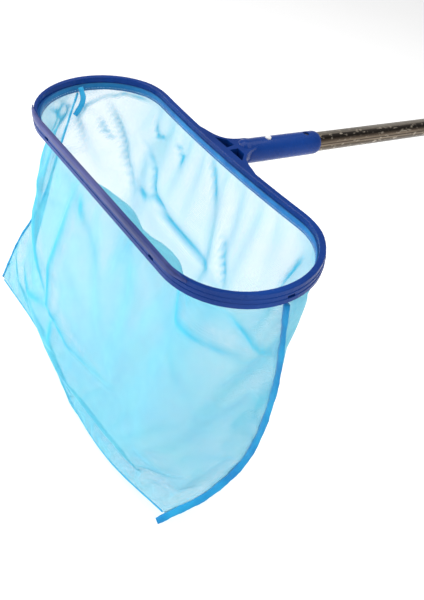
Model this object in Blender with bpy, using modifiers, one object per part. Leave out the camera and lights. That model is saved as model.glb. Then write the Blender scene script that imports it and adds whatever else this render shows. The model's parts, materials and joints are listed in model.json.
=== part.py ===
"""Leaf skimmer net: a moulded hoop with a yoke and socket, a scoop lip, a push-in net ring, a
sewn mesh bag, and a pole held in the socket by a sprung two-button clip.

Metres, +Z up. The origin is the centre of the socket mouth and the pole runs along +Y. The hoop
lies in its own plane, dipped by HOOP_DIP about X, and everything on it is built in that plane."""

from math import cos, pi, radians, sin, sqrt

import bmesh
import bpy
from mathutils import Matrix, Vector

MM = 0.001
GAP = 0.3 * MM

# Hoop, in its own plane: X along the hoop, Y towards the pole, Z = 0 on the rim
HOOP_CENTRE = Vector((0.0, -0.2573, -0.0050))
HOOP_DIP = radians(7.56)
HOOP_HALF_LENGTH = 0.2610
HOOP_HALF_WIDTH = 0.1025
HOOP_END_LENGTH = 0.1010
BACK_DIP_IN = 0.0091
BACK_DIP_REACH = 0.2004
RIM_WIDTH = 7.6 * MM
FRONT_RIM_WIDTH = 4.8 * MM
RIM_DEPTH = 8.4 * MM
WALL_HEIGHT = 20.1 * MM
WALL_THICKNESS = 2.7 * MM
WALL_FLARE = 1.2 * MM
RIDGE_HEIGHT = 0.8 * MM
SLOT_SIZE = (10.0 * MM, 3.2 * MM)
SLOT_DEPTH_BELOW_RIM = 11.5 * MM
SLOT_X = 0.127

# Scoop lip, clipped over the front edge of the hoop
LIP_LEFT_X = -0.216
LIP_RIGHT_X = 0.203
LIP_TAPER = 0.040

# Net ring and its cloth hem
RING_TOP = -8.8 * MM
RING_BOTTOM = -18.0 * MM
RING_INNER = 8.0 * MM
HEM_THICKNESS = 0.6 * MM

# Yoke and socket
YOKE_THICKNESS = 14.0 * MM
YOKE_TIP = 0.1430
YOKE_NECK = 0.1280
FLARE_BASE = 4.0 * MM
FLARE_SPREAD = 440.0 * MM * MM
FLARE_ASYMPTOTE = 0.0880
POCKET_DEPTH = 12.0 * MM
SOCKET_RADIUS = 17.0 * MM
SOCKET_BORE = 14.3 * MM
SOCKET_BORE_DEPTH = 0.1200
SOCKET_BACK = -0.1440
HOLE_RADIUS = 4.9 * MM
CLIP_Y = -0.0945
SPARE_HOLE_Y = -0.0225

# Pole and its snap clip
POLE_RADIUS = 14.0 * MM
POLE_WALL = 1.3 * MM
POLE_START = -0.1170
POLE_END = 0.3000
BUTTON_RADIUS = 4.4 * MM
BUTTON_FOOT_RADIUS = 5.8 * MM
BUTTON_TOP = 19.6 * MM
BUTTON_FOOT = 10.9 * MM
BUTTON_FOOT_THICKNESS = 1.4 * MM
SPRING_WIDTH = 9.0 * MM

# Bag: two panels between a mouth under the hem, two side seams and a bottom seam (hoop plane)
BAG_WALL = 0.8 * MM
BAG_MOUTH_Z = -19.3 * MM
BAG_MOUTH_INSET = 7.0 * MM
BAG_ROWS = 18
BAG_BELLY = 0.022
LEFT_CORNER = (-0.260, -0.148, -0.338)
RIGHT_CORNER = (0.247, -0.126, -0.376)
LEFT_SEAM = [(-0.261, -0.022, -0.090), (-0.262, -0.066, -0.205), (-0.261, -0.112, -0.270)]
RIGHT_SEAM = [(0.270, -0.003, -0.150), (0.276, -0.026, -0.265), (0.264, -0.070, -0.340)]
BOTTOM_SEAM = [(-0.140, -0.136, -0.370), (0.000, -0.146, -0.396), (0.130, -0.150, -0.380)]
SEAM_WIDTH = 7.0 * MM
SEAM_THICKNESS = 1.2 * MM
TAIL_WIDTH = 10.0 * MM
TAIL_DEPTH = 0.13

ARC_STEPS = 32
STRAIGHT_STEPS = 14
ROUND = 40


def material(name, colour, roughness, metallic=0.0, alpha=1.0):
    """One Principled material."""
    mat = bpy.data.materials.new(name)
    mat.use_nodes = True
    shader = mat.node_tree.nodes["Principled BSDF"]
    shader.inputs["Base Color"].default_value = (*colour, 1.0)
    shader.inputs["Roughness"].default_value = roughness
    shader.inputs["Metallic"].default_value = metallic
    shader.inputs["Alpha"].default_value = alpha
    return mat


def new_collection(name):
    coll = bpy.data.collections.new(name)
    bpy.context.scene.collection.children.link(coll)
    return coll


def from_bmesh(name, bm, coll, mat=None, smooth=True):
    """A mesh object from a bmesh, with outward normals."""
    bmesh.ops.remove_doubles(bm, verts=bm.verts, dist=1e-6)
    bmesh.ops.recalc_face_normals(bm, faces=bm.faces)
    mesh = bpy.data.meshes.new(name)
    bm.to_mesh(mesh)
    bm.free()
    if smooth:
        mesh.shade_smooth()
        mesh.set_sharp_from_angle(angle=radians(32))
    obj = bpy.data.objects.new(name, mesh)
    coll.objects.link(obj)
    if mat:
        mesh.materials.append(mat)
    return obj


def loft(bm, rows, closed_rows=False, caps=True):
    """Quads between consecutive closed rings of points."""
    rings = [[bm.verts.new(p) for p in row] for row in rows]
    pairs = list(zip(rings, rings[1:]))
    if closed_rows:
        pairs.append((rings[-1], rings[0]))
    count = len(rings[0])
    for lower, upper in pairs:
        for i in range(count):
            j = (i + 1) % count
            bm.faces.new((lower[i], lower[j], upper[j], upper[i]))
    if caps and not closed_rows:
        bm.faces.new(list(reversed(rings[0])))
        bm.faces.new(rings[-1])


def cutter(obj):
    """Keeps a Boolean tool out of the model."""
    obj.hide_render = True
    obj.display_type = "WIRE"
    return obj


def boolean(target, tool, operation):
    mod = target.modifiers.new(f"{operation.lower()} {tool.name}", "BOOLEAN")
    mod.operation = operation
    mod.solver = "EXACT"
    mod.object = cutter(tool)


def cylinder(name, radius, start, end, coll, mat=None, steps=ROUND):
    """A solid cylinder between two points."""
    start, end = Vector(start), Vector(end)
    bm = bmesh.new()
    bmesh.ops.create_cone(
        bm, cap_ends=True, segments=steps, radius1=radius, radius2=radius, depth=(end - start).length
    )
    turn = (end - start).to_track_quat("Z", "Y").to_matrix().to_4x4()
    bmesh.ops.transform(bm, matrix=Matrix.Translation((start + end) / 2) @ turn, verts=bm.verts)
    return from_bmesh(name, bm, coll, mat)


def turned(name, profile, coll, mat=None, steps=ROUND):
    """A solid of revolution about Y from (radius, y) points that start and end on the axis, or a
    tube when the profile is closed away from it."""
    bm = bmesh.new()
    on_axis = profile[0][0] == 0.0
    rows = []
    for i in range(steps):
        a = 2 * pi * i / steps
        rows.append([(r * cos(a), y, r * sin(a)) for r, y in profile])
    rings = [[bm.verts.new(p) for p in row] for row in rows]
    for i in range(steps):
        here, after = rings[i], rings[(i + 1) % steps]
        last = len(profile) - 1 if on_axis else len(profile)
        for k in range(last):
            n = (k + 1) % len(profile)
            corners = [here[k], here[n], after[n], after[k]]
            if profile[k][0] == 0.0:
                corners = [here[k], here[n], after[n]]
            elif profile[n][0] == 0.0:
                corners = [here[k], here[n], after[k]]
            bm.faces.new(corners)
    return from_bmesh(name, bm, coll, mat)


def prism(name, outline, z_low, z_high, coll, mat=None):
    """A flat outline filled as a 2D curve and extruded between two heights."""
    curve = bpy.data.curves.new(name, "CURVE")
    curve.dimensions = "2D"
    curve.fill_mode = "BOTH"
    curve.extrude = (z_high - z_low) / 2
    spline = curve.splines.new("POLY")
    spline.points.add(len(outline) - 1)
    for point, (x, y) in zip(spline.points, outline):
        point.co = (x, y, 0.0, 1.0)
    spline.use_cyclic_u = True
    source = bpy.data.objects.new(name + "_outline", curve)
    bpy.context.scene.collection.objects.link(source)
    bpy.context.view_layer.update()
    depsgraph = bpy.context.evaluated_depsgraph_get()
    mesh = bpy.data.meshes.new_from_object(source.evaluated_get(depsgraph))
    bm = bmesh.new()
    bm.from_mesh(mesh)
    bmesh.ops.remove_doubles(bm, verts=bm.verts, dist=1e-5)
    bmesh.ops.translate(bm, vec=(0, 0, (z_low + z_high) / 2), verts=bm.verts)
    bpy.data.objects.remove(source)
    return from_bmesh(name, bm, coll, mat, smooth=False)


def hoop_stations():
    """(point, outward normal) round the hoop's outer edge, anticlockwise from the front of the
    right end. The back side dips in towards its middle."""
    straight = HOOP_HALF_LENGTH - HOOP_END_LENGTH
    points = []
    for side in (1, -1):
        for i in range(ARC_STEPS):
            a = -pi / 2 + pi * i / ARC_STEPS
            points.append(
                (side * (straight + HOOP_END_LENGTH * cos(a)), side * HOOP_HALF_WIDTH * sin(a))
            )
        for i in range(STRAIGHT_STEPS):
            x = straight * (1 - 2 * i / STRAIGHT_STEPS)
            points.append((side * x, side * HOOP_HALF_WIDTH))
    shaped = []
    for x, y in points:
        if y > 0:
            y -= BACK_DIP_IN * max(0.0, 1 - (x / BACK_DIP_REACH) ** 2)
        shaped.append(Vector((x, y)))
    stations = []
    for i, p in enumerate(shaped):
        along = shaped[(i + 1) % len(shaped)] - shaped[i - 1]
        stations.append((p, Vector((along.y, -along.x)).normalized()))
    return stations


STATIONS = hoop_stations()


def front_share(point):
    """0 along the back and the ends, rising smoothly to 1 along the front."""
    t = min(1.0, max(0.0, -point.y / HOOP_HALF_WIDTH))
    return t * t * (3 - 2 * t)


def at(station, inset, z):
    point, normal = station
    flat = point - normal * inset
    return Vector((flat.x, flat.y, z))


def on_hoop(obj, parent):
    """Places an object built in the hoop's plane."""
    obj.parent = parent
    return obj


def ring_sweep(name, section, coll, mat=None):
    """A closed sweep of (inset, z) points round the hoop. A section may depend on the station."""
    bm = bmesh.new()
    rows = []
    for station in STATIONS:
        points = section(station) if callable(section) else section
        rows.append([at(station, inset, z) for inset, z in points])
    loft(bm, rows, closed_rows=True)
    return from_bmesh(name, bm, coll, mat)


def frame_section(station):
    """Rim flange over a flared, twice-ridged outer wall. The rim is narrower along the front."""
    share = front_share(station[0])
    rim = RIM_WIDTH + (FRONT_RIM_WIDTH - RIM_WIDTH) * share
    edge = 0.7 * MM

    def face(z, out=0.0):
        return (-WALL_FLARE * (-z / WALL_HEIGHT) - out, z)

    points = [(edge, 0.0), (0.0, -edge)]
    for ridge in (-7.4 * MM, -13.6 * MM):
        points += [
            face(ridge + 1.3 * MM),
            face(ridge + 0.6 * MM, RIDGE_HEIGHT),
            face(ridge - 0.6 * MM, RIDGE_HEIGHT),
            face(ridge - 1.3 * MM),
        ]
    points += [
        face(-WALL_HEIGHT + 0.6 * MM),
        (-WALL_FLARE + 0.6 * MM, -WALL_HEIGHT),
        (WALL_THICKNESS - 0.8 * MM, -WALL_HEIGHT),
        (WALL_THICKNESS, -WALL_HEIGHT + 0.8 * MM),
        (WALL_THICKNESS, -RIM_DEPTH),
        (rim - 0.6 * MM, -RIM_DEPTH),
        (rim, -RIM_DEPTH + 0.6 * MM),
        (rim, -0.9 * MM),
        (rim - 0.3 * MM, -0.3 * MM),
        (rim - 0.9 * MM, 0.0),
    ]
    return points


def yoke_outline():
    """Flares from the back of the hoop to a rounded tip on top of the socket."""
    inside = [
        at(s, 1.2 * MM, 0).to_2d() for s in STATIONS if s[0].y > 0 and abs(s[0].x) < 0.075
    ]
    inside.sort(key=lambda p: p.x)
    side = []
    for i in range(15):
        y = 0.0965 + (YOKE_NECK - 0.0965) * (i / 14) ** 1.5
        side.append((FLARE_BASE + FLARE_SPREAD / (y - FLARE_ASYMPTOTE), y))
    neck = side[-1][0]
    tip = [
        (neck * cos(a), YOKE_NECK + (YOKE_TIP - YOKE_NECK) * sin(a))
        for a in (radians(d) for d in (20, 40, 60, 75, 90))
    ]
    right = side + tip
    left = [(-x, y) for x, y in reversed(right[:-1])]
    return [tuple(p) for p in inside] + right + left


def build_frame(coll, cutters, hoop, mat):
    """Hoop, yoke and socket as one moulding."""
    frame = on_hoop(ring_sweep("outer_frame", frame_section, coll, mat), hoop)

    plate = on_hoop(
        prism("yoke_plate", yoke_outline(), -YOKE_THICKNESS, -0.15 * MM, cutters), hoop
    )
    boolean(frame, plate, "UNION")

    tube_profile = [
        (0.0, SOCKET_BACK),
        (7.0 * MM, SOCKET_BACK + 0.6 * MM),
        (12.5 * MM, SOCKET_BACK + 3.2 * MM),
        (15.9 * MM, SOCKET_BACK + 7.4 * MM),
        (SOCKET_RADIUS, SOCKET_BACK + 12.5 * MM),
        (SOCKET_RADIUS, -6.0 * MM),
        (SOCKET_RADIUS - 0.35 * MM, -3.2 * MM),
        (SOCKET_RADIUS - 1.0 * MM, -1.1 * MM),
        (SOCKET_RADIUS - 1.7 * MM, 0.0),
        (0.0, 0.0),
    ]
    tube = turned("socket_tube", tube_profile, cutters, steps=48)
    boolean(frame, tube, "UNION")

    bore = turned(
        "socket_bore",
        [
            (0.0, -SOCKET_BORE_DEPTH),
            (SOCKET_BORE, -SOCKET_BORE_DEPTH),
            (SOCKET_BORE, 5 * MM),
            (0.0, 5 * MM),
        ],
        cutters,
        steps=48,
    )
    boolean(frame, bore, "DIFFERENCE")

    for label, y in (("clip", CLIP_Y), ("spare", SPARE_HOLE_Y)):
        reach = SOCKET_RADIUS + 5 * MM
        hole = cylinder(
            f"{label}_holes", HOLE_RADIUS, (0, y, -reach), (0, y, reach), cutters, steps=24
        )
        boolean(frame, hole, "DIFFERENCE")

    for side, label in ((1, "right"), (-1, "left")):
        corners = [(3.3, 96.6), (32.5, 96.6), (20.0, 108.6), (4.6, 109.4)]
        outline = [(side * x * MM, y * MM) for x, y in corners]
        pocket = prism(f"{label}_pocket", outline, -POCKET_DEPTH, 2 * MM, cutters)
        boolean(frame, on_hoop(pocket, hoop), "DIFFERENCE")

    for i, station in enumerate(slot_stations()):
        point, normal = station
        bm = bmesh.new()
        bmesh.ops.create_cube(bm, size=1.0)
        bmesh.ops.scale(bm, vec=(SLOT_SIZE[0], 12 * MM, SLOT_SIZE[1]), verts=bm.verts)
        turn = Matrix.Rotation(normal.to_3d().to_track_quat("Y", "Z").to_euler().z, 4, "Z")
        place = Matrix.Translation((point.x, point.y, -SLOT_DEPTH_BELOW_RIM))
        bmesh.ops.transform(bm, matrix=place @ turn, verts=bm.verts)
        slot = on_hoop(from_bmesh(f"release_slot_{i + 1}", bm, cutters, smooth=False), hoop)
        boolean(frame, slot, "DIFFERENCE")
    return frame


def slot_stations():
    """Six release slots: two in the front wall, two in the back wall, one at each end."""
    wanted = [
        (SLOT_X, -1), (-SLOT_X, -1), (SLOT_X, 1), (-SLOT_X, 1),
        (HOOP_HALF_LENGTH, 0), (-HOOP_HALF_LENGTH, 0),
    ]
    found = []
    for x, side in wanted:
        target = Vector((x, side * HOOP_HALF_WIDTH))
        found.append(min(STATIONS, key=lambda s: (s[0] - target).length))
    return found


def build_lip(coll, hoop, mat):
    """Blade clipped over the front edge, leaning in over the rim and tapered at both ends."""
    full = [
        (-2.9, -5.4), (-2.9, -1.0), (-1.9, 1.8), (0.9, 4.3), (1.9, 4.4),
        (2.3, 3.6), (1.1, 0.6), (0.4, 0.3), (-0.35, -0.55), (-0.9, -5.4),
    ]
    thin = [
        (-2.6, -2.2), (-2.6, -1.0), (-2.3, 0.1), (-1.6, 0.6), (-1.2, 0.7),
        (-0.9, 0.5), (-0.75, 0.2), (-0.7, 0.0), (-0.7, -0.6), (-0.8, -2.2),
    ]
    stations = [s for s in STATIONS if s[0].y < 0 and LIP_LEFT_X <= s[0].x <= LIP_RIGHT_X]
    stations.sort(key=lambda s: s[0].x)
    lengths = [0.0]
    for a, b in zip(stations, stations[1:]):
        lengths.append(lengths[-1] + (b[0] - a[0]).length)
    bm = bmesh.new()
    rows = []
    for station, run in zip(stations, lengths):
        share = min(1.0, min(run, lengths[-1] - run) / LIP_TAPER)
        share = sin(share * pi / 2)
        row = []
        for (fi, fz), (ti, tz) in zip(full, thin):
            row.append(
                at(station, (ti + (fi - ti) * share) * MM, (tz + (fz - tz) * share) * MM)
            )
        rows.append(row)
    loft(bm, rows)
    return on_hoop(from_bmesh("scoop_lip", bm, coll, mat), hoop)


def build_ring(coll, hoop, mat):
    """The stiff ring that carries the net and pushes up inside the hoop wall."""
    outer = WALL_THICKNESS + GAP
    section = [
        (outer, RING_TOP - 0.5 * MM),
        (outer + 0.5 * MM, RING_TOP),
        (RING_INNER - 0.5 * MM, RING_TOP),
        (RING_INNER, RING_TOP - 0.5 * MM),
        (RING_INNER, RING_BOTTOM + 0.5 * MM),
        (RING_INNER - 0.5 * MM, RING_BOTTOM),
        (outer + 0.5 * MM, RING_BOTTOM),
        (outer, RING_BOTTOM + 0.5 * MM),
    ]
    return on_hoop(ring_sweep("net_ring", section, coll, mat), hoop)


def build_hem(coll, hoop, mat):
    """Woven hem turned over the inner face and the underside of the ring."""
    inner = RING_INNER + GAP
    low = RING_BOTTOM - GAP
    edge = WALL_THICKNESS + GAP
    section = [
        (inner, RING_TOP - 0.2 * MM),
        (inner, low),
        (edge, low),
        (edge, low - HEM_THICKNESS),
        (inner + HEM_THICKNESS, low - HEM_THICKNESS),
        (inner + HEM_THICKNESS, RING_TOP - 0.2 * MM),
    ]
    return on_hoop(ring_sweep("net_hem", section, coll, mat), hoop)


def along(points, t):
    """A point on the smooth curve through a list of points, t from 0 to 1."""
    points = [Vector(p) for p in points]
    spans = len(points) - 1
    i = min(int(t * spans), spans - 1)
    f = t * spans - i
    p1, p2 = points[i], points[i + 1]
    p0 = points[i - 1] if i else 2 * p1 - p2
    p3 = points[i + 2] if i + 2 <= spans else 2 * p2 - p1
    return 0.5 * (
        2 * p1 + (p2 - p0) * f
        + (2 * p0 - 5 * p1 + 4 * p2 - p3) * f * f
        + (3 * p1 - p0 - 3 * p2 + p3) * f ** 3
    )


def bag_mouth(index):
    return at(STATIONS[index % len(STATIONS)], BAG_MOUTH_INSET, BAG_MOUTH_Z)


RIGHT_END = ARC_STEPS // 2
LEFT_END = RIGHT_END + len(STATIONS) // 2


def left_seam(depth):
    return along([bag_mouth(LEFT_END), *LEFT_SEAM, LEFT_CORNER], depth)


def right_seam(depth):
    return along([bag_mouth(RIGHT_END), *RIGHT_SEAM, RIGHT_CORNER], depth)


def bottom_seam(share):
    return along([LEFT_CORNER, *BOTTOM_SEAM, RIGHT_CORNER], share)


def bag_point(index, depth):
    """A point of the bag below one hoop station: a patch blended between mouth and seams."""
    half = len(STATIONS) // 2
    back = RIGHT_END < index < LEFT_END
    across = (LEFT_END - index) / half if back else (index + half - RIGHT_END) % (2 * half) / half
    side = 1 if back else -1
    mouth, low = bag_mouth(index), bottom_seam(across)
    bilinear = (
        bag_mouth(LEFT_END).lerp(bag_mouth(RIGHT_END), across).lerp(
            Vector(LEFT_CORNER).lerp(Vector(RIGHT_CORNER), across), depth
        )
    )
    point = mouth.lerp(low, depth) + left_seam(depth).lerp(right_seam(depth), across) - bilinear
    spread = sin(pi * across)
    point.y += side * spread * (4 * MM * depth + BAG_BELLY * sin(pi * depth) * (side < 0))
    return point


def bag_row(depth):
    """One closed ring of the bag, from the mouth at depth 0 to the bottom seam at depth 1."""
    return [bag_point(i, depth) for i in range(0, len(STATIONS), 2)]


def build_bag(coll, hoop, mat):
    """The mesh bag: open at the mouth, closed along the bottom seam."""
    rows = [bag_row(i / BAG_ROWS) for i in range(BAG_ROWS + 1)]
    bm = bmesh.new()
    loft(bm, rows, caps=False)
    bm.verts.ensure_lookup_table()
    bm.faces.new(bm.verts[-len(rows[0]):])
    bag = from_bmesh("net_bag", bm, coll, mat)
    wall = bag.modifiers.new("mesh wall", "SOLIDIFY")
    wall.thickness = BAG_WALL
    wall.offset = -1.0
    wall.use_rim = True
    return on_hoop(bag, hoop)


def strip(name, path, wide, thick, coll, mat):
    """A flat strip lofted along a path. Each path point comes with its two edge offsets."""
    bm = bmesh.new()
    rows = []
    for point, near, far in path:
        half = thick * 0.5
        rows.append([point + near - half, point + far * wide - half,
                     point + far * wide + half, point + near + half])
    loft(bm, rows)
    return from_bmesh(name, bm, coll, mat)


def build_seams(coll, hoop, mat):
    """Bound seams down both ends of the bag and along its bottom."""
    thick = Vector((0, SEAM_THICKNESS, 0))
    for label, side, seam in (("left", -1, left_seam), ("right", 1, right_seam)):
        outward = Vector((side, 0, 0))
        path = [(seam(i / 22), outward * 0.6 * MM, outward) for i in range(1, 21)]
        on_hoop(strip(f"seam_{label}", path, SEAM_WIDTH, thick, coll, mat), hoop)
    down = Vector((0, 0, -1))
    path = [(bottom_seam(i / 26), down * 1.6 * MM, down) for i in range(1, 26)]
    on_hoop(strip("seam_bottom", path, SEAM_WIDTH, thick, coll, mat), hoop)


def build_tail(coll, hoop, mat):
    """The loose end of the hem tape, hanging inside the bag's left end beside the side seam."""
    inward = Vector((1, 0, 0))
    across = Vector((0, 1, 0))
    path = []
    for i in range(9):
        t = i / 8
        wall = left_seam(0.015 + TAIL_DEPTH * t)
        point = wall + inward * (7.0 + 6.0 * t) * MM - across * TAIL_WIDTH / 2
        path.append((point, Vector((0, 0, 0)), across))
    return on_hoop(strip("hem_tail", path, TAIL_WIDTH, inward * 0.9 * MM, coll, mat), hoop)


def build_pole(coll, cutters, mat):
    """One drawn tube, drilled through both walls for the clip buttons."""
    inner = POLE_RADIUS - POLE_WALL
    edge = 0.3 * MM
    profile = [
        (inner, POLE_START + edge), (inner + edge, POLE_START),
        (POLE_RADIUS - edge, POLE_START), (POLE_RADIUS, POLE_START + edge),
        (POLE_RADIUS, POLE_END - edge), (POLE_RADIUS - edge, POLE_END),
        (inner + edge, POLE_END), (inner, POLE_END - edge),
    ]
    pole = turned("pole_tube", profile, coll, mat, steps=48)
    reach = POLE_RADIUS + 5 * MM
    hole = cylinder(
        "pole_holes", HOLE_RADIUS, (0, CLIP_Y, -reach), (0, CLIP_Y, reach), cutters, steps=24
    )
    boolean(pole, hole, "DIFFERENCE")
    return pole


def build_button(name, side, coll, mat):
    """A domed button on a round foot that stays inside the pole. Its origin is on its axis."""
    crown = 1.5 * MM
    profile = [
        (0.0, BUTTON_FOOT - BUTTON_FOOT_THICKNESS),
        (BUTTON_FOOT_RADIUS, BUTTON_FOOT - BUTTON_FOOT_THICKNESS),
        (BUTTON_FOOT_RADIUS, BUTTON_FOOT),
        (BUTTON_RADIUS, BUTTON_FOOT),
    ]
    for d in range(0, 91, 18):
        a = radians(d)
        profile.append(
            (BUTTON_RADIUS * cos(a) if d < 90 else 0.0, BUTTON_TOP - crown + crown * sin(a))
        )
    button = turned(name, profile, coll, mat, steps=32)
    button.rotation_euler = (side * pi / 2, 0, 0)
    button.location = (0, CLIP_Y, 0)
    return button


def build_spring(coll, mat):
    """The V spring whose arms push both buttons outwards."""
    outer = [(-7.5, 9.2), (7.5, 9.2), (22.0, 6.6), (34.0, 3.9), (41.0, 1.7), (43.0, 0.0)]
    inner = [(41.6, 0.0), (40.4, 0.9), (33.6, 3.0), (21.8, 5.7), (7.5, 8.3), (-7.5, 8.3)]
    lower = [(y, -z) for y, z in reversed(outer[:-1])] + [(y, -z) for y, z in reversed(inner[1:])]
    flat = [(y * MM, z * MM) for y, z in outer + lower + inner]
    spring = prism("clip_spring", flat, -SPRING_WIDTH / 2, SPRING_WIDTH / 2, coll, mat)
    turn = Matrix(((0, 0, 1, 0), (1, 0, 0, 0), (0, 1, 0, 0), (0, 0, 0, 1)))
    spring.data.transform(turn)
    spring.location = (0, CLIP_Y, 0)
    return spring


def main():
    for obj in list(bpy.data.objects):
        bpy.data.objects.remove(obj, do_unlink=True)
    for coll in list(bpy.data.collections):
        bpy.data.collections.remove(coll)

    parts = new_collection("leaf_skimmer_net")
    cutters = new_collection("cutters")

    blue = material("moulded blue plastic", (0.016, 0.075, 0.33), 0.35)
    ring_blue = material("ring blue plastic", (0.02, 0.14, 0.42), 0.45)
    azure = material("azure woven hem", (0.02, 0.27, 0.72), 0.8)
    mesh_cyan = material("cyan net mesh", (0.26, 0.72, 0.93), 0.7)
    alloy = material("bronzed aluminium", (0.25, 0.23, 0.21), 0.38, 1.0)
    white = material("white acetal", (0.86, 0.87, 0.88), 0.4)
    steel = material("spring steel", (0.55, 0.56, 0.57), 0.3, 1.0)

    hoop = bpy.data.objects.new("hoop_plane", None)
    hoop.location = HOOP_CENTRE
    hoop.rotation_euler = (HOOP_DIP, 0, 0)
    parts.objects.link(hoop)

    build_frame(parts, cutters, hoop, blue)
    build_lip(parts, hoop, blue)
    build_ring(parts, hoop, ring_blue)
    build_hem(parts, hoop, azure)
    build_bag(parts, hoop, mesh_cyan)
    build_seams(parts, hoop, azure)
    build_tail(parts, hoop, azure)
    build_pole(parts, cutters, alloy)
    build_spring(parts, steel)
    build_button("button_upper", 1, parts, white)
    build_button("button_lower", -1, parts, white)
    bpy.context.view_layer.update()


main()
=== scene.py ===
"""Looks of the leaf skimmer net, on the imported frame: materials for the hard parts, and a cloth
bag with its hem, stitches and bound seams in place of the plain soft solids."""

import json
from math import cos, exp, pi, radians, sin

import bmesh
import bpy
from mathutils import Matrix, Vector

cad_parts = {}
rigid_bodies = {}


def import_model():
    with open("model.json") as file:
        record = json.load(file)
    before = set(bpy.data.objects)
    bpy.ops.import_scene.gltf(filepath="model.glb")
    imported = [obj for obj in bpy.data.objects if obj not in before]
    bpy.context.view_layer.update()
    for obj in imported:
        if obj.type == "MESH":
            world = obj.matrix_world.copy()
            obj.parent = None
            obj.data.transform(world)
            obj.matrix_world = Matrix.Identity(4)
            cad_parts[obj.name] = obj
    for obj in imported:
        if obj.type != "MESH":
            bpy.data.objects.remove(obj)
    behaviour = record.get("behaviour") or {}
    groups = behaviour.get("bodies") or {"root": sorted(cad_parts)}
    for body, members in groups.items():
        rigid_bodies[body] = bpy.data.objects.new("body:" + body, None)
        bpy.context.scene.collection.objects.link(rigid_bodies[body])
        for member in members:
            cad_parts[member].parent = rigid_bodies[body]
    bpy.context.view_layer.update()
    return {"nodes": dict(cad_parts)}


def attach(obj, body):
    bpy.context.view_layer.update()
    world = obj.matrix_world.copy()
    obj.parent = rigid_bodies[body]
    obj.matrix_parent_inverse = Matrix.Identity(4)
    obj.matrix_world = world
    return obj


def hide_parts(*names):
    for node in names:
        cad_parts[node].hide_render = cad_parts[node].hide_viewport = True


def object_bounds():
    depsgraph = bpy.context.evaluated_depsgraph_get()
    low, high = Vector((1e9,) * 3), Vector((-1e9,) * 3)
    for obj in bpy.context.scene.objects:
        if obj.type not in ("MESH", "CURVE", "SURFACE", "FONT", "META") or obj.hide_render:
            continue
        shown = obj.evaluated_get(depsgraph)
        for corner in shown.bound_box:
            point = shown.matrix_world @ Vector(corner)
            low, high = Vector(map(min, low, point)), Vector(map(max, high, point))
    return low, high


for left_over in list(bpy.data.objects):
    bpy.data.objects.remove(left_over, do_unlink=True)

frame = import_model()
nodes = frame["nodes"]
MM = 0.001

# Hoop plane and bag, as in the CAD part
HOOP_CENTRE = Vector((0.0, -0.2573, -0.0050))
HOOP_DIP = radians(7.56)
HOOP_HALF_LENGTH = 0.2610
HOOP_HALF_WIDTH = 0.1025
HOOP_END_LENGTH = 0.1010
BACK_DIP_IN = 0.0091
BACK_DIP_REACH = 0.2004
RING_TOP = -8.8 * MM
RING_BOTTOM = -18.0 * MM
RING_INNER = 8.0 * MM
WALL_THICKNESS = 2.7 * MM
BAG_MOUTH_Z = -18.6 * MM
BAG_MOUTH_INSET = 8.4 * MM
LEFT_CORNER = Vector((-0.260, -0.148, -0.338))
RIGHT_CORNER = Vector((0.247, -0.126, -0.376))
LEFT_SEAM = [(-0.261, -0.022, -0.090), (-0.262, -0.066, -0.205), (-0.261, -0.112, -0.270)]
RIGHT_SEAM = [(0.270, -0.003, -0.150), (0.276, -0.026, -0.265), (0.264, -0.070, -0.340)]
BOTTOM_SEAM = [(-0.140, -0.136, -0.370), (0.000, -0.146, -0.396), (0.130, -0.150, -0.380)]
BACK_BELLY = 3 * MM
FRONT_BELLY = 20 * MM

# The cloth: its mesh, its flat size, how much larger than its space it is, and how long it settles
PANEL_STEPS = 100
BAG_ROWS = 64
FLAT_WIDTH = 1.29
FLAT_DEPTH = 0.42
CLOTH_SPARE = 0.03
SETTLE_FRAMES = 40
CACHE_FRAMES = 60

# The tuck of the front panel behind the hoop's front edge (depths and places are shares)
TUCK_DEPTH = 0.10
TUCK_SPREAD = 0.08
TUCK_REACH = 30 * MM
TUCK_BULGE = 26 * MM
BULGE_PLACE = 0.60
BULGE_SPREAD = 0.15

# How firmly cloth is held in part: at the front tuck, and at most, below a share of its depth
TUCK_HOLD = 0.30
LOW_HOLD = 0.35
LOW_START = 0.80

# Sides of a tape's oval section, and the hem's loose end: its steps, reach along X and Y, and drop
TAPE_SIDES = 10
TAIL_STEPS = 28
TAIL_X = 12 * MM
TAIL_Y = 15 * MM
TAIL_DROP = 34 * MM

HEM_STEPS = 360
STITCHES = 260
STITCH_SIZE = (1.5 * MM, 0.35 * MM, 0.4 * MM)

# The pole's bands, painted highlights and reflections of the round tube, climb this way across its
# length, over this half height
BAND_X = -0.627
BAND_Z = 0.779
BAND_REACH = 11 * MM

# Shares of the light the net stops: open cells, strands, uneven knit, doubled crests, and a slant
CELL_COVER = 0.16
STRAND_COVER = 0.16
UNEVEN_COVER = 0.12
CREST_COVER = 0.46
SLANT_COVER = 0.78

TO_ROW = Matrix.Translation(HOOP_CENTRE) @ Matrix.Rotation(HOOP_DIP, 4, "X")


# ---------------------------------------------------------------- materials

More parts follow.
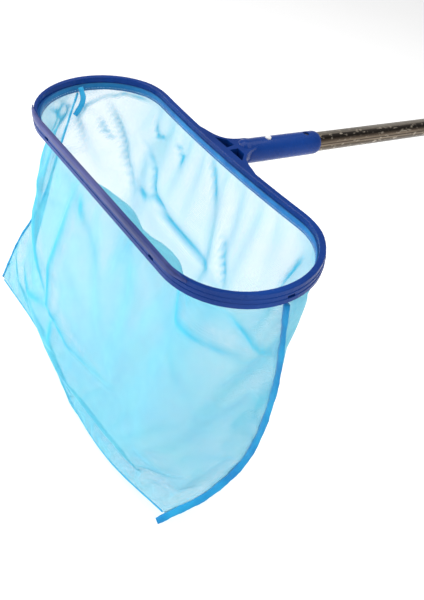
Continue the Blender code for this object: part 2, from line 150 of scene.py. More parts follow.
class Nodes:
    """Small helper round one material's node tree."""

    def __init__(self, name):
        self.mat = bpy.data.materials.new(name)
        self.mat.use_nodes = True
        self.tree = self.mat.node_tree
        self.bsdf = self.tree.nodes["Principled BSDF"]

    def add(self, kind, **values):
        node = self.tree.nodes.new(kind)
        for key, value in values.items():
            if key in node.inputs.keys():
                node.inputs[key].default_value = value
            else:
                setattr(node, key, value)
        return node

    def link(self, out, into):
        self.tree.links.new(out, into)

    def set(self, **values):
        for key, value in values.items():
            self.bsdf.inputs[key.replace("_", " ")].default_value = value

    def coords(self, scale, kind="Object"):
        source = self.add("ShaderNodeTexCoord")
        mapping = self.add("ShaderNodeMapping")
        mapping.inputs["Scale"].default_value = scale
        self.link(source.outputs[kind], mapping.inputs["Vector"])
        return mapping.outputs["Vector"]

    def noise(self, scale, detail=4.0, stretch=(1, 1, 1)):
        node = self.add("ShaderNodeTexNoise", Scale=scale, Detail=detail)
        self.link(self.coords(stretch), node.inputs["Vector"])
        return node.outputs["Fac"]

    def axis(self, name):
        """One coordinate of the surface in the part's own frame, in metres."""
        split = self.add("ShaderNodeSeparateXYZ")
        self.link(self.coords((1, 1, 1)), split.inputs["Vector"])
        return split.outputs[name]

    def spread(self, axis, low, high):
        """0 to 1 along an axis between two places."""
        node = self.add("ShaderNodeMapRange")
        self.link(self.axis(axis), node.inputs["Value"])
        node.inputs["From Min"].default_value = low
        node.inputs["From Max"].default_value = high
        return node.outputs["Result"]

    def ramp(self, factor, stops):
        node = self.add("ShaderNodeValToRGB")
        band = node.color_ramp
        while len(band.elements) < len(stops):
            band.elements.new(0.5)
        for element, (where, colour) in zip(band.elements, stops):
            element.position = where
            element.color = (*colour, 1.0)
        self.link(factor, node.inputs["Fac"])
        return node.outputs["Color"]

    def maths(self, operation, a, b):
        node = self.add("ShaderNodeMath", operation=operation)
        for socket, value in zip(node.inputs, (a, b)):
            if isinstance(value, (int, float)):
                socket.default_value = value
            else:
                self.link(value, socket)
        return node.outputs[0]

    def mix(self, factor, a, b, blend="MIX"):
        node = self.add("ShaderNodeMix", data_type="RGBA", blend_type=blend)
        for socket, value in ((node.inputs[0], factor), (node.inputs[6], a), (node.inputs[7], b)):
            if isinstance(value, tuple):
                socket.default_value = (*value, 1.0)
            elif isinstance(value, (int, float)):
                socket.default_value = value
            else:
                self.link(value, socket)
        return node.outputs[2]

    def bump(self, height, strength, distance):
        node = self.add("ShaderNodeBump", Strength=strength, Distance=distance)
        self.link(height, node.inputs["Height"])
        self.link(node.outputs["Normal"], self.bsdf.inputs["Normal"])


def moulded(name, deep, light, rough=(0.26, 0.42), coat=0.25, scuff=(0.30, 0.40, 0.62), painted_shade_tints=(),
            painted_light_streaks=False):
    """Moulded plastic: flow variation, fine orange peel, and pale scuffs. Each tint is a colour of
    painted shade that multiplies the base, and the axis and the two places between which it comes in.
    The switch for long lines draws light and dark lines along X: painted highlight lines and painted
    shade."""
    n = Nodes(name)
    flow = n.noise(9.0, 5.0)
    base = n.ramp(flow, [(0.30, deep), (0.72, light)])
    # Tints darken the base towards a place: painted shade
    for colour, axis, low, high in painted_shade_tints:
        base = n.mix(n.spread(axis, low, high), base, colour, "MULTIPLY")
    # Long light and dark lines along X: painted highlight lines and painted shade
    if painted_light_streaks:
        lines = n.ramp(n.noise(260.0, 3.0, (0.02, 1, 1)), [(0.36, (0.62,) * 3), (0.64, (1.12,) * 3)])
        base = n.mix(1.0, base, lines, "MULTIPLY")
    marks = n.ramp(n.noise(140.0, 8.0, (1, 1, 3)), [(0.70, (0, 0, 0)), (0.86, (0.12,) * 3)])
    n.link(n.mix(marks, base, scuff), n.bsdf.inputs["Base Color"])
    gloss = n.add("ShaderNodeMapRange")
    n.link(n.noise(46.0, 6.0), gloss.inputs["Value"])
    gloss.inputs["From Min"].default_value = 0.3
    gloss.inputs["From Max"].default_value = 0.7
    gloss.inputs["To Min"].default_value = rough[0]
    gloss.inputs["To Max"].default_value = rough[1]
    n.link(gloss.outputs["Result"], n.bsdf.inputs["Roughness"])
    n.bump(n.noise(900.0, 3.0), 0.12, 0.0004)
    n.set(Coat_Weight=coat, Coat_Roughness=0.08, Specular_IOR_Level=0.10)
    return n.mat


def drawn_alloy(name):
    """Dull bronze-grey drawn metal: die lines along its length, mottled oxide, small dents."""
    n = Nodes(name)
    lines = n.noise(300.0, 5.0, (1, 0.02, 1))
    patches = n.noise(34.0, 8.0, (1, 0.35, 1))
    tone = n.ramp(patches, [(0.30, (0.026, 0.021, 0.016)), (0.52, (0.085, 0.072, 0.056)),
                            (0.74, (0.24, 0.22, 0.19))])
    n.link(n.mix(0.35, tone, n.ramp(lines, [(0.3, (0.02, 0.017, 0.014)), (0.7, (0.25, 0.23, 0.20))])),
           n.bsdf.inputs["Base Color"])
    rough = n.ramp(patches, [(0.3, (0.42,) * 3), (0.75, (0.24,) * 3)])
    n.link(rough, n.bsdf.inputs["Roughness"])
    height = n.maths("ADD", n.maths("MULTIPLY", lines, 0.35), n.noise(70.0, 4.0))
    n.bump(height, 0.28, 0.0006)
    n.set(Metallic=1.0)
    return n.mat


def pitted_pole_painted_light(name):
    """Worn drawn pole with pale pits: its long dark and tan bands along its length are painted
    highlights and reflections of the round tube.
    """
    n = Nodes(name)
    height = n.maths("ADD", n.maths("MULTIPLY", n.axis("X"), BAND_X),
                     n.maths("MULTIPLY", n.axis("Z"), BAND_Z))
    wander = n.maths("MULTIPLY", n.maths("SUBTRACT", n.noise(20.0, 6.0, (1, 0.2, 1)), 0.5), 0.22)
    place = n.maths("ADD", n.maths("ADD", n.maths("MULTIPLY", height, 0.5 / BAND_REACH), 0.5), wander)
    # Light and dark bands across the tube's height: painted highlights and reflections
    painted_light_bands = n.ramp(place, [
        (0.04, (0.10, 0.075, 0.05)), (0.12, (0.34, 0.27, 0.20)), (0.18, (0.045, 0.032, 0.024)),
        (0.24, (0.28, 0.22, 0.16)), (0.42, (0.13, 0.095, 0.068)), (0.54, (0.024, 0.018, 0.014)),
        (0.78, (0.032, 0.026, 0.021)), (0.86, (0.20, 0.17, 0.14)), (0.98, (0.30, 0.27, 0.23)),
    ])
    lines = n.ramp(n.noise(300.0, 5.0, (1, 0.02, 1)), [(0.3, (0.55,) * 3), (0.7, (1.3,) * 3)])
    pits = n.ramp(n.noise(210.0, 9.0, (1, 0.45, 1)), [(0.56, (0, 0, 0)), (0.66, (0.85,) * 3)])
    pits_on_painted_light = n.mix(pits, n.mix(1.0, painted_light_bands, lines, "MULTIPLY"), (0.46, 0.40, 0.32))
    n.link(pits_on_painted_light, n.bsdf.inputs["Base Color"])
    n.link(n.ramp(place, [(0.3, (0.30,) * 3), (0.6, (0.22,) * 3), (0.9, (0.46,) * 3)]),
           n.bsdf.inputs["Roughness"])
    n.bump(n.maths("ADD", pits, n.noise(70.0, 4.0)), 0.3, 0.0005)
    n.set(Metallic=0.9)
    return n.mat


def woven(name, deep, light, pitch, tint=None):
    """Woven tape: crossed threads in bump and colour, with soft wear. tint is a colour, and the
    axis and the two places between which the tape turns to it."""
    n = Nodes(name)
    where = n.coords((1, 1, 1))
    warp = n.add("ShaderNodeTexWave", wave_type="BANDS", bands_direction="X", Scale=pitch)
    weft = n.add("ShaderNodeTexWave", wave_type="BANDS", bands_direction="Z", Scale=pitch)
    for wave in (warp, weft):
        n.link(where, wave.inputs["Vector"])
    threads = n.maths("MULTIPLY", warp.outputs["Fac"], weft.outputs["Fac"])
    shade = n.maths("ADD", n.maths("MULTIPLY", threads, 0.35), n.maths("MULTIPLY", n.noise(30.0), 0.8))
    base = n.ramp(shade, [(0.25, deep), (0.85, light)])
    if tint:
        base = n.mix(n.spread(*tint[1:]), base, tint[0])
    n.link(base, n.bsdf.inputs["Base Color"])
    n.bump(threads, 0.6, 0.0004)
    n.set(Roughness=0.78, Sheen_Weight=0.35, Sheen_Roughness=0.4, Specular_IOR_Level=0.25)
    return n.mat


def net_mesh(name):
    """Fine open knit: crossed strands with open cells, so part of the light goes through."""
    n = Nodes(name)
    where = n.coords((1, 1, 1), "UV")
    strands = []
    for direction in ("X", "Y"):
        wave = n.add("ShaderNodeTexWave", wave_type="BANDS", bands_direction=direction, Scale=150.0)
        n.link(where, wave.inputs["Vector"])
        strands.append(wave.outputs["Fac"])
    knit = n.maths("MAXIMUM", strands[0], strands[1])
    cloudy = n.noise(26.0, 5.0)
    tone = n.ramp(cloudy, [(0.30, (0.045, 0.52, 0.74)), (0.70, (0.085, 0.60, 0.75))])
    gather = n.add("ShaderNodeAttribute", attribute_name="gather").outputs["Fac"]
    n.link(n.mix(n.maths("MULTIPLY", gather, 0.75), tone, (0.025, 0.560, 0.820)),
           n.bsdf.inputs["Base Color"])
    grazing = n.add("ShaderNodeLayerWeight", Blend=0.35)
    cover = n.maths("ADD", n.maths("MULTIPLY", knit, STRAND_COVER),
                    n.maths("MULTIPLY", cloudy, UNEVEN_COVER))
    cover = n.maths("ADD", cover, CELL_COVER)
    cover = n.maths("ADD", cover, n.maths("MULTIPLY", grazing.outputs["Facing"], SLANT_COVER))
    cover = n.maths("ADD", cover, n.maths("MULTIPLY", gather, CREST_COVER))
    n.link(cover, n.bsdf.inputs["Alpha"])
    n.bump(knit, 0.25, 0.0003)
    n.set(Roughness=0.6, Sheen_Weight=0.3, Specular_IOR_Level=0.3)
    return n.mat


blue = moulded("blue_moulding", (0.002, 0.026, 0.170), (0.004, 0.052, 0.290), (0.20, 0.32), 0.15)
# The lip's lavender colours are painted sheen, the sky's reflection on its upward face; its two tints
# darken its ends as painted shade, and its long lines are painted highlight lines
lip_blue = moulded("lip_moulding", (0.050, 0.066, 0.230), (0.098, 0.112, 0.310), (0.28, 0.42), 0.2,
                   (0.45, 0.50, 0.72),
                   (((0.20, 0.34, 0.60), "X", -0.185, -0.235), ((0.45, 0.60, 0.80), "X", 0.02, 0.10)),
                   painted_light_streaks=True)
ring_blue = moulded("ring_moulding", (0.015, 0.100, 0.360), (0.030, 0.170, 0.480), (0.42, 0.56), 0.05)
alloy = pitted_pole_painted_light("pitted_alloy_painted_light")
# The hem tape turns darker towards the left end: painted shade on the band there
tape = woven("hem_tape_weave", (0.006, 0.105, 0.430), (0.040, 0.390, 0.800), 260.0,
             tint=((0.010, 0.150, 0.340), "X", -0.10, -0.30))
tail_tape = woven("tail_weave", (0.020, 0.360, 0.700), (0.070, 0.560, 0.880), 260.0)
seam_tape = woven("seam_tape_weave", (0.006, 0.210, 0.560), (0.030, 0.500, 0.840), 260.0)
left_tape = woven("left_seam_weave", (0.006, 0.240, 0.560), (0.025, 0.440, 0.780), 260.0,
                  tint=((0.070, 0.540, 0.840), "Z", -0.20, -0.10))
bottom_tape = woven("bottom_seam_weave", (0.030, 0.380, 0.760), (0.070, 0.560, 0.900), 260.0)
mesh_mat = net_mesh("net_knit")
button_mat = moulded("button_moulding", (0.78, 0.79, 0.80), (0.88, 0.89, 0.90), (0.30, 0.42), 0.1,
                     (0.95, 0.95, 0.95))
steel = drawn_alloy("clip_spring_steel")
thread = woven("hem_thread", (0.30, 0.62, 0.90), (0.60, 0.86, 1.0), 400.0)


def dress(name, mat):
    """Gives a CAD node one material in place of its plain one."""
    obj = nodes[name]
    obj.data.materials.clear()
    obj.data.materials.append(mat)


for name, mat in (("outer_frame", blue), ("scoop_lip", lip_blue), ("net_ring", ring_blue),
                  ("pole_tube", alloy), ("clip_spring", steel),
                  ("button_upper", button_mat), ("button_lower", button_mat)):
    dress(name, mat)


# ---------------------------------------------------------------- bag shape

def hoop_edge(angle_share):
    """(point, outward normal) on the hoop's outer edge, by share of the way round from the
    right end, anticlockwise."""
    straight = HOOP_HALF_LENGTH - HOOP_END_LENGTH
    arc = pi * (HOOP_END_LENGTH + HOOP_HALF_WIDTH) / 2
    total = 2 * arc + 4 * straight

    def place(share):
        run = (share % 1.0) * total
        if run < arc / 2:
            a = run / arc * pi
            p = (straight + HOOP_END_LENGTH * cos(a), HOOP_HALF_WIDTH * sin(a))
        elif run < arc / 2 + 2 * straight:
            p = (straight - (run - arc / 2), HOOP_HALF_WIDTH)
        elif run < 1.5 * arc + 2 * straight:
            a = pi / 2 + (run - arc / 2 - 2 * straight) / arc * pi
            p = (-straight + HOOP_END_LENGTH * cos(a), HOOP_HALF_WIDTH * sin(a))
        elif run < 1.5 * arc + 4 * straight:
            p = (-straight + (run - 1.5 * arc - 2 * straight), -HOOP_HALF_WIDTH)
        else:
            a = -pi / 2 + (run - 1.5 * arc - 4 * straight) / arc * pi
            p = (straight + HOOP_END_LENGTH * cos(a), HOOP_HALF_WIDTH * sin(a))
        x, y = p
        if y > 0:
            y -= BACK_DIP_IN * max(0.0, 1 - (x / BACK_DIP_REACH) ** 2)
        return Vector((x, y))

    here = place(angle_share)
    tangent = place(angle_share + 0.002) - place(angle_share - 0.002)
    return here, Vector((tangent.y, -tangent.x)).normalized()


def at(share, inset, z):
    """A point in the hoop's plane, inset from the hoop's outer edge and at height z."""
    point, normal = hoop_edge(share)
    flat = point - normal * inset
    return Vector((flat.x, flat.y, z))


def along(points, t):
    """A point on the smooth curve through a list of points, t from 0 to 1."""
    points = [Vector(p) for p in points]
    spans = len(points) - 1
    i = min(int(t * spans), spans - 1)
    f = t * spans - i
    p1, p2 = points[i], points[i + 1]
    p0 = points[i - 1] if i else 2 * p1 - p2
    p3 = points[i + 2] if i + 2 <= spans else 2 * p2 - p1
    return 0.5 * (2 * p1 + (p2 - p0) * f + (2 * p0 - 5 * p1 + 4 * p2 - p3) * f * f
                  + (3 * p1 - p0 - 3 * p2 + p3) * f ** 3)


def mouth(share):
    """Where the bag's upper edge hangs from the ring."""
    return at(share, BAG_MOUTH_INSET, BAG_MOUTH_Z)


FOLD_LIFT = 0.55
DOUBLED_WIDTH = 0.024

# Folds that the cloth starts from: (panel, path of (across, depth), width, height). Those narrower
# than DOUBLED_WIDTH double the cloth up on their crests.
FOLDS = [
    ("back", [(0.08, 0.15), (0.10, 0.20), (0.14, 0.23)], 0.013, 0.010),
    ("back", [(0.09, 0.07), (0.12, 0.14), (0.16, 0.22), (0.18, 0.27), (0.25, 0.33)], 0.015, 0.018),
    ("back", [(0.25, 0.31), (0.34, 0.28)], 0.013, 0.010),
    ("back", [(0.22, 0.17), (0.30, 0.20), (0.33, 0.26), (0.40, 0.28), (0.54, 0.28), (0.64, 0.30)],
     0.016, 0.019),
    ("back", [(0.24, 0.06), (0.26, 0.11), (0.30, 0.08)], 0.012, 0.010),
    ("back", [(0.34, 0.05), (0.38, 0.08), (0.38, 0.12)], 0.012, 0.010),
    ("back", [(0.47, 0.00), (0.50, 0.06), (0.52, 0.13)], 0.013, 0.014),
    ("back", [(0.58, 0.16), (0.60, 0.22), (0.64, 0.28)], 0.013, 0.015),
    ("back", [(0.79, 0.05), (0.78, 0.10), (0.76, 0.17)], 0.013, 0.014),
    ("back", [(0.06, 0.36), (0.22, 0.52), (0.42, 0.82)], 0.030, -0.010),
    ("back", [(0.84, 0.12), (0.82, 0.30), (0.74, 0.52)], 0.026, 0.009),
    ("back", [(0.36, 0.42), (0.60, 0.60), (0.80, 0.72)], 0.030, 0.012),
    ("back", [(0.09, 0.02), (0.03, 0.10), (0.02, 0.18), (0.07, 0.30)], 0.014, 0.012),
    ("back", [(0.07, 0.05), (0.13, 0.01), (0.20, 0.02)], 0.013, 0.006),
    ("front", [(0.06, 0.02), (0.02, 0.10), (0.02, 0.16), (0.06, 0.28)], 0.014, 0.012),
    ("front", [(0.03, 0.02), (0.07, 0.10), (0.14, 0.20), (0.20, 0.30)], 0.016, 0.020),
    ("front", [(0.11, 0.02), (0.06, 0.10), (0.03, 0.26)], 0.015, 0.018),
    ("front", [(0.20, 0.16), (0.17, 0.38), (0.24, 0.46), (0.34, 0.54)], 0.018, 0.018),
    ("front", [(0.34, 0.14), (0.34, 0.26), (0.32, 0.42), (0.36, 0.52), (0.46, 0.56), (0.62, 0.52)],
     0.019, 0.018),
    ("front", [(0.68, 0.10), (0.76, 0.16), (0.84, 0.15), (0.94, 0.17)], 0.018, 0.020),
    ("front", [(0.88, 0.04), (0.90, 0.08), (0.93, 0.12), (1.00, 0.17)], 0.016, 0.018),
    ("front", [(0.38, 0.54), (0.40, 0.74)], 0.016, 0.009),
    ("front", [(0.36, 0.14), (0.38, 0.21)], 0.012, 0.008),
    ("front", [(0.14, 0.72), (0.24, 0.68), (0.36, 0.52)], 0.018, 0.010),
    ("front", [(0.74, 0.44), (0.78, 0.64), (0.86, 0.74)], 0.030, 0.010),
    ("front", [(0.88, 0.36), (0.90, 0.56)], 0.024, -0.010),
]


def fold_parts(side, across, depth):
    """(height, how gathered) of the folds at one place: the lift of the cloth off its panel, and
    0 to 1 where it doubles up on a crest."""
    panel = "back" if side > 0 else "front"
    lift, gathered = 0.0, 0.0
    here = Vector((across, depth))
    for where, path, width, height in FOLDS:
        if where != panel:
            continue
        best = None
        for i, (start, end) in enumerate(zip(path, path[1:])):
            start, end = Vector(start), Vector(end)
            line = end - start
            t = max(0.0, min(1.0, (here - start).dot(line) / line.dot(line)))
            away = (here - start - line * t).length
            if best is None or away < best[0]:
                best = (away, (i + t) / (len(path) - 1))
        away, t = best[0] / width, best[1]
        crest = exp(-away * away) * min(1.0, 0.35 + 2.6 * min(t, 1 - t))
        lift += FOLD_LIFT * height * crest
        if width < DOUBLED_WIDTH:
            fade = min(1.0, 0.15 + 3.0 * min(t, 1 - t))
            gathered = max(gathered, exp(-3.4 * away * away) * fade)
    return lift, gathered


def bag_point(side, across, depth):
    """A point of one panel (side 1 back, -1 front): a patch blended between mouth and seams."""
    share = 0.5 - across / 2 if side > 0 else 0.5 + across / 2
    ends = [mouth(0.5), mouth(0.0)]
    low = along([LEFT_CORNER, *BOTTOM_SEAM, RIGHT_CORNER], across)
    left = along([ends[0], *LEFT_SEAM, LEFT_CORNER], depth)
    right = along([ends[1], *RIGHT_SEAM, RIGHT_CORNER], depth)
    corners = ends[0].lerp(ends[1], across).lerp(LEFT_CORNER.lerp(RIGHT_CORNER, across), depth)
    point = mouth(share).lerp(low, depth) + left.lerp(right, across) - corners
    spread = sin(pi * across)
    held = sin(pi * depth) ** 0.6
    if side < 0:
        tuck = exp(-((depth - TUCK_DEPTH) / TUCK_SPREAD) ** 2) * min(1.0, depth / 0.035)
        reach = TUCK_REACH + TUCK_BULGE * exp(-((across - BULGE_PLACE) / BULGE_SPREAD) ** 2)
        point.y += reach * tuck * spread ** 0.6 * (0.84 + 0.16 * sin(30 * across))
        point.y -= FRONT_BELLY * spread * sin(pi * depth) * min(1.0, depth / 0.4)
    point.y += side * spread * BACK_BELLY * depth
    lift = fold_parts(side, across, depth)[0] * held
    point.y += lift * (1 if side > 0 else -1)
    return point


def build_bag():
    """Grid of the bag: back panel then front panel, sharing the two side seams."""
    mesh = bpy.data.meshes.new("net_bag_knit")
    bm = bmesh.new()
    uv = bm.loops.layers.uv.new("cloth")
    columns = ([(1, 1 - i / PANEL_STEPS) for i in range(PANEL_STEPS)]
               + [(-1, i / PANEL_STEPS) for i in range(PANEL_STEPS)])
    grid = []
    for r in range(BAG_ROWS + 1):
        depth = r / BAG_ROWS
        grid.append([bm.verts.new(bag_point(side, across, depth)) for side, across in columns])
    count = len(columns)
    for r in range(BAG_ROWS):
        for c in range(count):
            d = (c + 1) % count
            face = bm.faces.new((grid[r][c], grid[r][d], grid[r + 1][d], grid[r + 1][c]))
            for loop, (u, v) in zip(face.loops, ((c, r), (c + 1, r), (c + 1, r + 1), (c, r + 1))):
                loop[uv].uv = (u * FLAT_WIDTH / count, v * FLAT_DEPTH / BAG_ROWS)
    low = grid[-1]
    for i in range(1, PANEL_STEPS):
        low[i].co = (low[i].co + low[count - i].co) / 2 + Vector((0, 1.2 * MM, 0))
        low[count - i].co = low[i].co - Vector((0, 2.4 * MM, 0))
    bm.verts.index_update()
    bm.to_mesh(mesh)
    bm.free()
    gather = mesh.attributes.new("gather", "FLOAT", "POINT")
    for i, value in enumerate(gather.data):
        side, across = columns[i % count]
        value.value = fold_parts(side, across, i // count / BAG_ROWS)[1]
    mesh.transform(TO_ROW)
    mesh.shade_smooth()
    bag = bpy.data.objects.new("net_bag_knit", mesh)
    bpy.context.scene.collection.objects.link(bag)
    return bag, count


def drape(bag, count):
    """Lets the cloth, cut larger than its space, settle between its seams. The mouth and the seams
    are held, and the front tuck and the lowest fifth are held in part."""
    scene = bpy.context.scene
    held = bag.vertex_groups.new(name="held")
    for r in range(BAG_ROWS + 1):
        for c in range(count):
            weight = 1.0 if r in (0, BAG_ROWS) or c in (0, PANEL_STEPS) else 0.0
            depth, across = r / BAG_ROWS, (c - PANEL_STEPS) / PANEL_STEPS
            if not weight and 0.03 < depth < 0.16 and 0.12 < across < 0.86:
                weight = TUCK_HOLD
            if not weight and depth > LOW_START:
                weight = LOW_HOLD * (depth - LOW_START) / 0.20
            if weight:
                held.add([r * count + c], weight, "REPLACE")
    cloth = bag.modifiers.new("cloth", "CLOTH")
    settings = cloth.settings
    settings.quality = 6
    settings.mass = 0.02
    settings.tension_stiffness = 14
    settings.compression_stiffness = 14
    settings.shear_stiffness = 6
    settings.bending_stiffness = 4.0
    settings.air_damping = 4.0
    settings.vertex_group_mass = "held"
    settings.shrink_min = -CLOTH_SPARE
    cloth.collision_settings.use_collision = False
    cloth.collision_settings.use_self_collision = False
    cloth.point_cache.frame_start = 1
    cloth.point_cache.frame_end = CACHE_FRAMES
    scene.gravity = (0.0, -1.2, -9.6)
    for step in range(1, SETTLE_FRAMES + 1):
        scene.frame_set(step)
    settled = bag.evaluated_get(bpy.context.evaluated_depsgraph_get())
    spots = [v.co.copy() for v in settled.data.vertices]
    bag.modifiers.remove(cloth)
    bag.vertex_groups.clear()
    for v, spot in zip(bag.data.vertices, spots):
        v.co = spot
    scene.frame_set(1)


bag, columns = build_bag()
bag.data.materials.append(mesh_mat)
drape(bag, columns)
bag.data.update()
spots = [v.co.copy() for v in bag.data.vertices]


def bag_vertex(row, column):
    """A settled point of the bag, by its row and column."""
    return spots[row * columns + column % columns]


# ---------------------------------------------------------------- tapes, hem and stitches

def finish_mesh(name, bm, mat):
    """Turns a bmesh into a smooth object of one material."""
    bmesh.ops.recalc_face_normals(bm, faces=bm.faces)
    mesh = bpy.data.meshes.new(name)
    bm.to_mesh(mesh)
    bm.free()
    mesh.shade_smooth()
    mesh.materials.append(mat)
    obj = bpy.data.objects.new(name, mesh)
    bpy.context.scene.collection.objects.link(obj)
    return obj


def bound_edge(name, points, outward, width, thick, mat, pucker=0.25):
    """A folded tape along a path: an oval section that swells and pinches as gathered cloth does.
    outward gives the direction the seam allowance stands in, for each point."""
    bm = bmesh.new()
    rings = []
    for i, point in enumerate(points):
        ahead = points[min(i + 1, len(points) - 1)] - points[max(i - 1, 0)]
        ahead.normalize()
        out = outward(i)
        out = (out - ahead * out.dot(ahead)).normalized()
        side = ahead.cross(out)
        swell = 1 + pucker * (0.6 * sin(i * 0.9) + 0.4 * sin(i * 2.3 + 1))
        middle = point + out * width * 0.42
        ring = []
        for k in range(TAPE_SIDES):
            a = 2 * pi * k / TAPE_SIDES
            ring.append(bm.verts.new(
                middle + out * (width / 2 * cos(a)) * (0.85 + 0.15 * swell)
                + side * (thick / 2 * sin(a) * swell)))
        rings.append(ring)
    for a, b in zip(rings, rings[1:]):
        for k in range(TAPE_SIDES):
            d = (k + 1) % TAPE_SIDES
            bm.faces.new((a[k], a[d], b[d], b[k]))
    bm.faces.new(list(reversed(rings[0])))
    bm.faces.new(rings[-1])
    return finish_mesh(name, bm, mat)


# Seams, the right one with a free end past the corner
left_path = [bag_vertex(r, PANEL_STEPS) for r in range(1, BAG_ROWS + 1)]
right_path = [bag_vertex(r, 0) for r in range(1, BAG_ROWS + 1)]
bottom_path = [(bag_vertex(BAG_ROWS, c) + bag_vertex(BAG_ROWS, columns - c)) / 2
               for c in range(1, PANEL_STEPS)]
tip = right_path[-1] - right_path[-4]
right_path += [right_path[-1] + tip.normalized() * 3 * MM * k for k in range(1, 6)]
seam_left = bound_edge("seam_left_tape", left_path, lambda i: Vector((-1, 0, -0.2)), 0.0048, 0.0024,
                       left_tape, 0.5)
seam_right = bound_edge("seam_right_tape", right_path, lambda i: Vector((1, 0, -0.3)), 0.0100, 0.0040,
                        seam_tape, 0.7)
seam_bottom = bound_edge("seam_bottom_tape", bottom_path, lambda i: Vector((0, -0.2, -1)), 0.0034,
                         0.0016, bottom_tape, 0.25)

# Hem: a folded band round the ring, with a little waviness
hem_bm = bmesh.new()
hem_rows = []
for i in range(HEM_STEPS):
    share = i / HEM_STEPS
    wave = 0.25 * MM * sin(i * 0.61) + 0.15 * MM * sin(i * 1.7)
    inner = RING_INNER + 0.3 * MM
    section = [
        (inner, RING_TOP - 0.1 * MM), (inner, RING_BOTTOM - 0.3 * MM),
        (WALL_THICKNESS + 0.4 * MM, RING_BOTTOM - 0.3 * MM),
        (WALL_THICKNESS + 0.4 * MM, RING_BOTTOM - 1.0 * MM),
        (inner + 0.9 * MM + wave, RING_BOTTOM - 1.2 * MM + wave),
        (inner + 1.1 * MM + wave, (RING_TOP + RING_BOTTOM) / 2),
        (inner + 0.7 * MM, RING_TOP + 0.1 * MM + wave * 0.5),
    ]
    hem_rows.append([hem_bm.verts.new(at(share, inset, z)) for inset, z in section])
for i in range(HEM_STEPS):
    a, b = hem_rows[i], hem_rows[(i + 1) % HEM_STEPS]
    for k in range(len(a)):
        d = (k + 1) % len(a)
        hem_bm.faces.new((a[k], a[d], b[d], b[k]))
hem = finish_mesh("net_hem_tape", hem_bm, tape)
hem.data.transform(TO_ROW)

# Stitches round the hem
stitch_bm = bmesh.new()
for i in range(STITCHES):
    middle = at((i + 0.5) / STITCHES, RING_INNER + 1.45 * MM, RING_BOTTOM + 2.2 * MM)
    _, normal = hoop_edge((i + 0.5) / STITCHES)
    turn = Matrix(((-normal.y, normal.x, 0), (normal.x, normal.y, 0), (0, 0, 1))).transposed()
    made = bmesh.ops.create_icosphere(stitch_bm, subdivisions=1, radius=1.0)["verts"]
    bmesh.ops.scale(stitch_bm, vec=STITCH_SIZE, verts=made)
    bmesh.ops.transform(stitch_bm, matrix=Matrix.Translation(middle) @ turn.to_4x4(), verts=made)
stitches = finish_mesh("hem_stitches", stitch_bm, thread)
stitches.data.transform(TO_ROW)

# Loose end of the hem, inside the left end
tail_points = []
tail_start = mouth(0.5) + Vector((0.004, -0.003, 0.008))
for i in range(TAIL_STEPS + 1):
    t = i / TAIL_STEPS
    sway = Vector((TAIL_X * sin(min(1.0, 1.6 * t) * pi / 2),
                   -TAIL_Y * max(0.0, (t - 0.3) / 0.7) ** 1.3, -TAIL_DROP * t))
    tail_points.append(TO_ROW @ (tail_start + sway))
tail = bound_edge("hem_tail_tape", tail_points, lambda i: Vector((0.35, 1, 0)), 0.0080, 0.0014,
                  tail_tape, 0.5)

for piece in (bag, seam_left, seam_right, seam_bottom, hem, stitches, tail):
    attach(piece, "net")
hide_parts("net_bag")
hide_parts("seam_left")
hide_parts("seam_right")
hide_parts("seam_bottom")
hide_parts("net_hem")
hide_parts("hem_tail")


# ---------------------------------------------------------------- floor, lights and camera

floor_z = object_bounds()[0].z - 0.02
bm = bmesh.new()
bmesh.ops.create_grid(bm, x_segments=2, y_segments=2, size=14.0)
floor_mesh = bpy.data.meshes.new("floor")
bm.to_mesh(floor_mesh)
bm.free()
floor = bpy.data.objects.new("floor", floor_mesh)
floor.location = (0, 0, floor_z)
bpy.context.scene.collection.objects.link(floor)
pale = Nodes("pale_floor")
pale.link(pale.ramp(pale.noise(2.0), [(0.3, (0.90, 0.90, 0.90)), (0.7, (0.93, 0.93, 0.93))]),
          pale.bsdf.inputs["Base Color"])
pale.set(Roughness=0.9, Specular_IOR_Level=0.1, Emission_Color=(1, 1, 1, 1), Emission_Strength=0.36)
floor_mesh.materials.append(pale.mat)


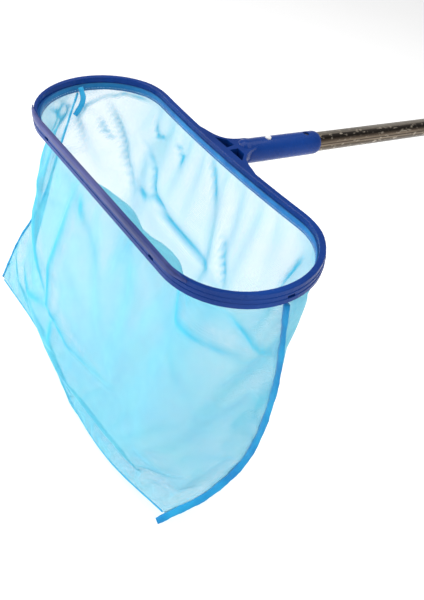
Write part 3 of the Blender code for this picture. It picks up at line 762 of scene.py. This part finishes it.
def area_light(name, place, aim, size, power):
    """A soft lamp at a place, aimed at a point."""
    data = bpy.data.lights.new(name, "AREA")
    data.shape = "RECTANGLE"
    data.size, data.size_y = size
    data.energy = power
    light = bpy.data.objects.new(name, data)
    light.location = place
    light.rotation_euler = (Vector(aim) - Vector(place)).to_track_quat("-Z", "Y").to_euler()
    bpy.context.scene.collection.objects.link(light)


area_light("key", (-1.4, -1.6, 1.9), (0, -0.25, -0.1), (1.8, 1.8), 30)
area_light("fill", (1.8, -1.2, 1.2), (0, -0.25, -0.1), (1.6, 1.6), 10)
area_light("top", (0.2, 0.6, 2.4), (0, -0.2, -0.1), (2.4, 2.0), 30)
area_light("front_strip", (-0.9, -1.5, 0.15), (0, -0.35, -0.02), (1.6, 0.5), 9)

world = bpy.data.worlds.new("studio")
world.use_nodes = True
sky = world.node_tree.nodes
sky["Background"].inputs["Color"].default_value = (1, 1, 1, 1)
# The studio is white at floor level and dims upwards, so the floor's far edge stays faint
direction, split, level = (sky.new(kind) for kind in (
    "ShaderNodeTexCoord", "ShaderNodeSeparateXYZ", "ShaderNodeMapRange"))
for socket, value in zip(level.inputs[1:5], (0.0, 0.35, 0.95, 0.40)):
    socket.default_value = value
for out, into in ((direction.outputs["Generated"], split.inputs[0]),
                  (split.outputs["Z"], level.inputs[0]),
                  (level.outputs[0], sky["Background"].inputs["Strength"])):
    world.node_tree.links.new(out, into)
bpy.context.scene.world = world
bpy.context.scene.view_settings.view_transform = "Standard"

camera_data = bpy.data.cameras.new("camera")
camera_data.sensor_width = 36.0
camera_data.lens = 42.0
camera_data.clip_start, camera_data.clip_end = 0.05, 50.0
camera = bpy.data.objects.new("camera", camera_data)
# The camera's own right, down and forward directions
right = Vector((0.55428, 0.80510, 0.21116))
down = Vector((0.61138, -0.22168, -0.75965))
ahead = Vector((-0.56479, 0.55016, -0.61510))
camera.matrix_world = Matrix.Translation((0.64351, -0.74191, 0.42702)) @ Matrix(
    (right, -down, -ahead)).transposed().to_4x4()
bpy.context.scene.collection.objects.link(camera)
bpy.context.scene.camera = camera
